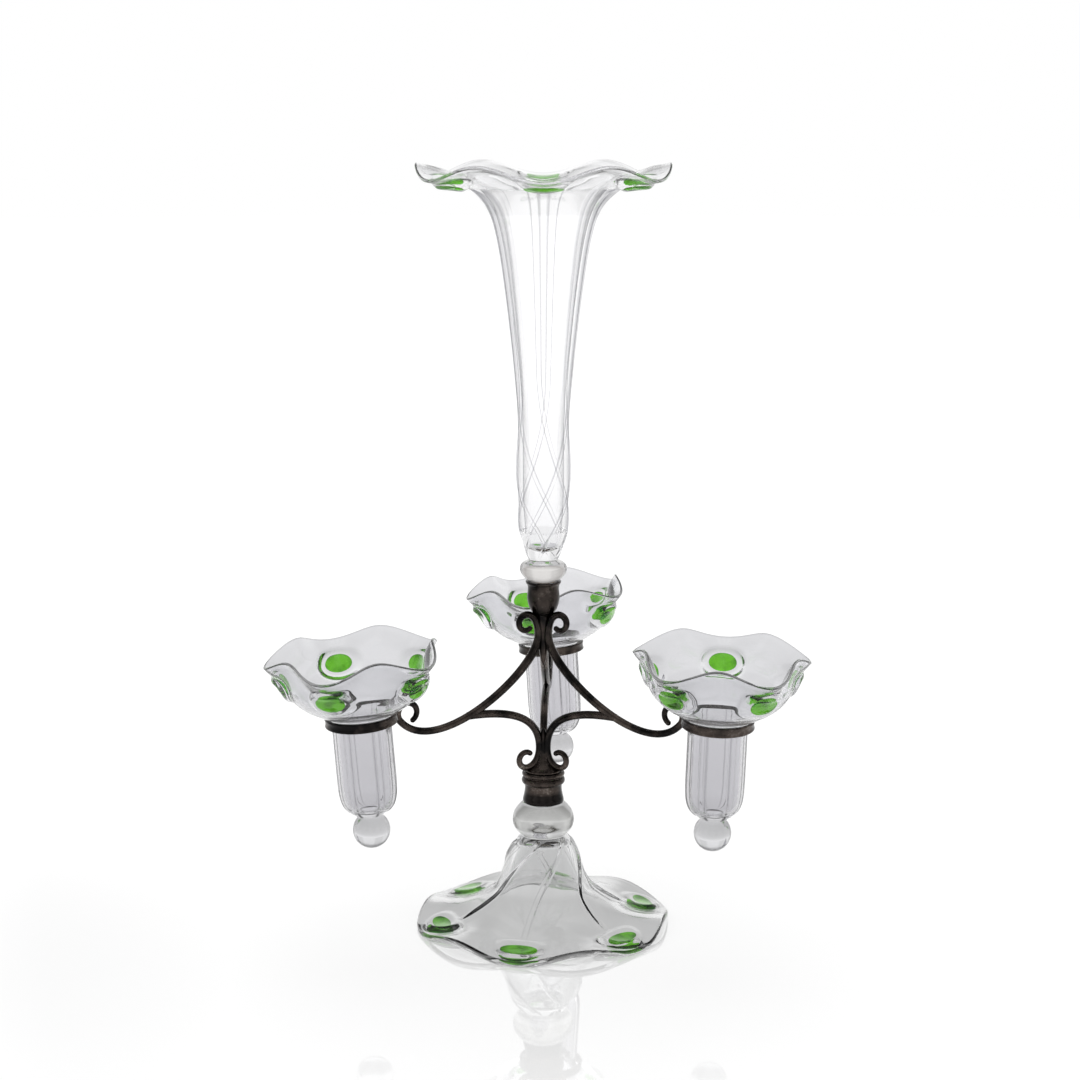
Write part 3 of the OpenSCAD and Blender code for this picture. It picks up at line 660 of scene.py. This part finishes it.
def buildTrumpet():
    line = smoothLine([
        (8.3, 221.4), (9.6, 224), (10.8, 227.4), (12.2, 233), (13.2, 239), (13.8, 246), (14.4, 256),
        (14.6, 270), (14.6, 286), (14.7, 302), (15.3, 316), (16.2, 328), (17.4, 341), (18.8, 354),
        (20.4, 368), (22.2, 382), (24.2, 396), (26.4, 408), (29, 418), (32.6, 426), (38, 432), (46, 436.6),
        (55.5, 439.8), (65, 442), (72.4, 443.4)], [2, 3, 4, 5, 5, 8, 11, 12, 8] + [3] * 10 + [6, 8, 9, 9, 8])
    seat = nearest(line, (58.5, 440.7))
    thin = [rise(p.x, trumpet["thinIn"], trumpet["waveOut"]) for p in line]
    walls = [trumpet["wall"] - trumpet["rimThin"] * t for t in thin]
    peg = ((0, 195.8), (5.0, 195.8), (5.5, 196.6), (5.5, 203))
    knop = smoothLine([
        (5.5, 209.1), (8.2, 209.2), (9.8, 210), (11.4, 211.4), (12.9, 213.4), (13.6, 215.8), (13.3, 218),
        (11.6, 219.9), (9.2, 220.8), (8.3, 221.4)], 4)
    profile = [(Vector(p), None, 0.0) for p in peg]
    profile += [(p, None, 0.0) for p in knop[:-1]]
    profile += wallProfile(line, walls, trumpet["rimRound"], trumpet["hollowLow"])
    profile.append((Vector((0, profile[-1][0].y - trumpet["hollowDip"])), None, 0.0))

    def place(spot, angle):
        point, j, depth = spot
        x, y = point
        down = (trumpet["twistTop"] - line[j or 0].y) / (trumpet["twistTop"] - line[0].y)
        twist = trumpet["twist"] * max(0, down) ** 2
        turn = trumpet["turn"] + trumpet["ribTurn"]
        angle = gather(angle, trumpet["lobes"], turn, twist)
        flank = 0.0
        if j is not None:
            wave = math.cos(trumpet["lobes"] * (angle - math.radians(trumpet["turn"])))
            fade = rise(line[j].x, trumpet["waveIn"], trumpet["waveOut"])
            across = math.radians(offPrunt(angle, trumpet["lobes"], trumpet["turn"])) * x
            boss = bossAt((line[j] - line[seat]).length, across, trumpet["bossWide"], trumpet["bossHigh"])
            rib = ribs(angle, trumpet["lobes"], turn - twist, trumpet["ribFlat"], trumpet["ribFlank"])
            fading = ease((line[j].y - line[0].y) / trumpet["ribStart"])
            fading *= ease((trumpet["ribOut"] - line[j].x) / trumpet["ribFade"])
            flank = flankOf(rib) * fading * (1 - depth)
            rib *= fading * line[j].x / trumpet["ribR"]
            out = outward(line, j) * (trumpet["swell"] * boss + trumpet["rib"] * rib) * (1 - depth)
            x += out.x + wave * fade * trumpet["push"]
            y += out.y - wave * fade * trumpet["wave"]
        return x * math.cos(angle), x * math.sin(angle), y, flank

    piece = blowGlass("trumpetGlass", profile, trumpet["steps"], place)
    dress(piece, trumpetGlass, "trumpet", "clear_glass", "trumpet", "trumpet_knop")
    fade = rise(line[seat].x, trumpet["waveIn"], trumpet["waveOut"])
    shift = Vector((trumpet["push"], -trumpet["wave"])) * fade
    green = setPrunts("trumpetPrunts", trumpet, line, seat, shift, trumpet["turn"])
    dress(green, greenGlass, "trumpet", "green_glass", "trumpet_prunts")
    print("trumpet:", len(piece.data.polygons), "faces")


# posies: bowl, flute and end ball blown in one

posy = {
    "lobes": 5, "turn": {"left": -25.5, "right": -28.0, "back": 24.5}, "wave": 3.8, "swing": 3.6,
    "waveLow": 15.0, "waveHigh": 35.0, "wall": 2.6, "lowThick": 0.6, "lowPoints": 12, "rimThin": 0.9,
    "thinLow": 24.0, "rimRound": 0.7, "hollowLow": 6, "hollowDip": 1.0, "swell": 3.0, "bossWide": 12.8,
    "bossHigh": 9.7, "ribs": 6, "rib": 0.7, "ribFlat": 4, "ribFlank": 5, "ribTop": -2, "ribFade": 6,
    "ballR": 10.7, "ballSteps": 24, "neckR": 6.0, "fluteL": 59.8, "pruntWide": 8.5, "pruntHigh": 5.4,
    "pruntThick": 1.6, "sunk": 2.0, "steps": 200}


def buildPosies():
    low = -posy["fluteL"]
    line = smoothLine([
        (6.0, low), (8.6, low + 0.9), (11.6, low + 3.1), (13.9, low + 6), (15.3, low + 10), (16, low + 15),
        (16.2, low + 22), (16.2, -28), (16.2, -18), (16.2, -9), (16.5, -4), (17.5, -1), (19.8, 0.8),
        (23.2, 2.3), (27, 4.4), (32.2, 7.8), (36.6, 11.9), (39.4, 16), (41, 20.3), (42.3, 25), (44.2, 29.4),
        (46.4, 32.8), (48.2, 35.2)], [3] * 13 + [4, 5, 6, 6, 6, 6, 6, 5, 4])
    seat = nearest(line, (41, 20.3))
    walls = []
    for j, p in enumerate(line):
        wall = posy["wall"] + posy["lowThick"] * ease(1 - j / posy["lowPoints"])
        walls.append(wall - posy["rimThin"] * rise(p.y, posy["thinLow"], posy["waveHigh"]))
    drop = math.sqrt(posy["ballR"] ** 2 - posy["neckR"] ** 2)
    reach = math.pi - math.atan2(posy["neckR"], drop)
    profile = []
    for s in range(posy["ballSteps"]):
        a = reach * s / posy["ballSteps"]
        ball = Vector((posy["ballR"] * math.sin(a), low - drop - posy["ballR"] * math.cos(a)))
        profile.append((ball, None, 0.0))
    profile += wallProfile(line, walls, posy["rimRound"], posy["hollowLow"])
    profile.append((Vector((0, profile[-1][0].y - posy["hollowDip"])), None, 0.0))

    def place(spot, angle):
        point, j, depth = spot
        x, y = point
        flank = 0.0
        if j is not None:
            wave = math.cos(posy["lobes"] * angle)
            fade = rise(line[j].y, posy["waveLow"], posy["waveHigh"])
            across = math.radians(offPrunt(angle, posy["lobes"], 0)) * x
            boss = bossAt((line[j] - line[seat]).length, across, posy["bossWide"], posy["bossHigh"])
            rib = ribs(angle, posy["ribs"], 0, posy["ribFlat"], posy["ribFlank"])
            fading = ease(j / posy["hollowLow"]) * ease((posy["ribTop"] - line[j].y) / posy["ribFade"])
            flank = flankOf(rib) * fading * (1 - depth)
            out = outward(line, j) * (posy["swell"] * boss + posy["rib"] * rib * fading) * (1 - depth)
            x += out.x + wave * fade * posy["swing"]
            y += out.y - wave * fade * posy["wave"]
        return x * math.cos(angle), x * math.sin(angle), y, flank

    master = blowGlass("posyGlass", profile, posy["steps"], place)
    shift = Vector((posy["swing"], -posy["wave"])) * rise(line[seat].y, posy["waveLow"], posy["waveHigh"])
    for side in sides:
        matrix = ringPlace(side) @ Matrix.Rotation(math.radians(posy["turn"][side]), 4, "Z")
        glass = copyPiece(master, "posy_" + side + "_glass", matrix)
        dress(glass, posyGlass, "posy_" + side, "clear_glass", "posy_" + side, "posy_finial_" + side)
        green = setPrunts("posy_" + side + "_prunts", posy, line, seat, shift, 0, matrix)
        dress(green, greenGlass, "posy_" + side, "green_glass", "posy_prunts_" + side)
    bpy.data.objects.remove(master)
    print("posies hung:", len(glass.data.polygons), "faces each")


def dressHidden():  # the cork stays as the CAD made it, inside the socket
    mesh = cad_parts["socket_cork"].data
    mesh.materials.clear()
    mesh.materials.append(rawCork)


# studio: pale floor, white surroundings, soft light and the camera

studio = {"floorR": 8.0, "gloss": 0.4, "mirror": 1.15, "matt": 0.35, "white": 1.12, "dim": 1.15,
          "world": 1.05, "windows": 8, "aim": (0, 0, 0.22)}
softboxes = {"leftSoftbox": ((-1.2, -0.7, 1.1), 0.9, 9), "rightSoftbox": ((1.3, -0.4, 0.9), 0.9, 7),
             "topSoftbox": ((0, 0.2, 1.7), 1.2, 8)}  # place, size and power
camera = {"lens": 76.28, "sensor": 36, "far": 50, "place": (0.0549, -1.3025, 0.488),
          "pitch": 11.07, "turn": 2.5}


def buildStudio():
    clearSelection()
    bpy.ops.mesh.primitive_circle_add(vertices=64, radius=studio["floorR"], fill_type="NGON")
    floor = bpy.context.active_object
    floor.name = floor.data.name = "studioFloor"
    material, start = newMaterial("paleFloor")
    spot = start.make("ShaderNodeTexCoord", out="Object")
    away = start.make("ShaderNodeVectorMath", {"operation": "LENGTH"}, {0: spot}, out="Value")
    near = 1 - ((away - 0.12) / 0.35).clamp()  # the floor takes shadows only here
    sheen = 1 - ((away - 0.1) / 0.25).clamp() * 0.6 - ((away - 0.35) / 0.3).clamp() * 0.4  # fades far off
    slant = start.make("ShaderNodeLayerWeight", None, {"Blend": 0.5}, out="Facing")
    sheen = sheen * ((slant - 0.35) * 3.5).clamp()  # and shows only to a low eye
    eye = start.make("ShaderNodeLightPath", out="Is Camera Ray")
    through = start.make("ShaderNodeLightPath", out="Is Transmission Ray")
    # painted shade: what glass sees of the floor glows dimmer towards the centre, under the object
    level = (away / 4).ramp((0.0, grey(0.55)), (0.1, grey(0.68)), (0.25, grey(0.84)), (1.0, grey(0.95)))
    white = start.make("ShaderNodeEmission", None, {"Color": grey(1), "Strength": studio["white"]})
    dim = start.make("ShaderNodeEmission", None, {"Color": level, "Strength": studio["dim"]})  # through glass
    matt = start.make("ShaderNodeBsdfDiffuse", None, {"Color": grey(0.9)})
    mirror = start.make("ShaderNodeBsdfGlossy", None, {"Color": grey(studio["mirror"]), "Roughness": 0.02})
    soft = start.make("ShaderNodeMixShader", None, {0: near * studio["matt"], 1: white, 2: matt})
    shown = start.make("ShaderNodeMixShader", None, {0: sheen * studio["gloss"], 1: soft, 2: mirror})
    other = start.make("ShaderNodeMixShader", None, {0: through, 1: matt, 2: dim})
    both = start.make("ShaderNodeMixShader", None, {0: eye, 1: other, 2: shown})
    start.make("ShaderNodeOutputMaterial", None, {"Surface": both})
    floor.data.materials.append(material)

    world = bpy.data.worlds.new("softStudio")
    bpy.context.scene.world = world
    world.use_nodes = True
    world.node_tree.nodes.clear()
    start = Wire(world.node_tree)
    eye = start.make("ShaderNodeLightPath", out="Is Camera Ray")
    toward = start.make("ShaderNodeTexCoord", out="Generated")
    x, y, z = [start.make("ShaderNodeSeparateXYZ", None, {0: toward}, out=axis) for axis in "XYZ"]
    turn = start.maths("ARCTAN2", y, x)
    window = start.make("ShaderNodeMath", {"operation": "COSINE"}, {0: turn * studio["windows"]})
    through = start.make("ShaderNodeLightPath", out="Is Transmission Ray")
    window = ((window + 0.55) * 1.6).clamp()
    card = window * (0.45 - through * 0.3) + (0.55 + through * 0.25)  # dark cards stand between the windows
    level = (z * 0.5 + 0.5).ramp(
        (0.0, grey(0.6)), (0.45, grey(1.0)), (0.55, grey(1.0)), (0.64, grey(0.95)), (0.74, grey(0.4)),
        (0.86, grey(0.4)), (0.95, grey(1.0)), (1.0, grey(1.0)))
    shade = start.make("ShaderNodeMix", {"data_type": "RGBA", "blend_type": "MULTIPLY"}, {
        0: 1.0, 6: level, 7: card}, out=2)
    around = start.make("ShaderNodeBackground", None, {"Color": shade, "Strength": studio["world"]})
    white = start.make("ShaderNodeBackground", None, {"Color": grey(1), "Strength": 1.0})
    both = start.make("ShaderNodeMixShader", None, {0: eye, 1: around, 2: white})
    start.make("ShaderNodeOutputWorld", None, {"Surface": both})

    for name, (spot, size, power) in softboxes.items():
        bpy.ops.object.light_add(type="AREA", location=spot)
        lamp = bpy.context.active_object
        lamp.name = name
        lamp.data.size = size
        lamp.data.energy = power
        lamp.visible_glossy = lamp.visible_transmission = False
        aim = Vector(studio["aim"]) - Vector(spot)
        lamp.rotation_euler = aim.to_track_quat("-Z", "Y").to_euler()

    bpy.ops.object.camera_add(location=camera["place"], rotation=(
        math.radians(90 - camera["pitch"]), 0, math.radians(camera["turn"])))
    view = bpy.context.active_object
    view.data.lens = camera["lens"]
    view.data.sensor_width = camera["sensor"]
    view.data.clip_end = camera["far"]
    bpy.context.scene.camera = view
    bpy.context.scene.view_settings.view_transform = "Standard"
    print("studio ready")


buildFoot()
buildFerrule()
buildSocket()
buildArms()
buildTrumpet()
buildPosies()
dressHidden()
buildStudio()
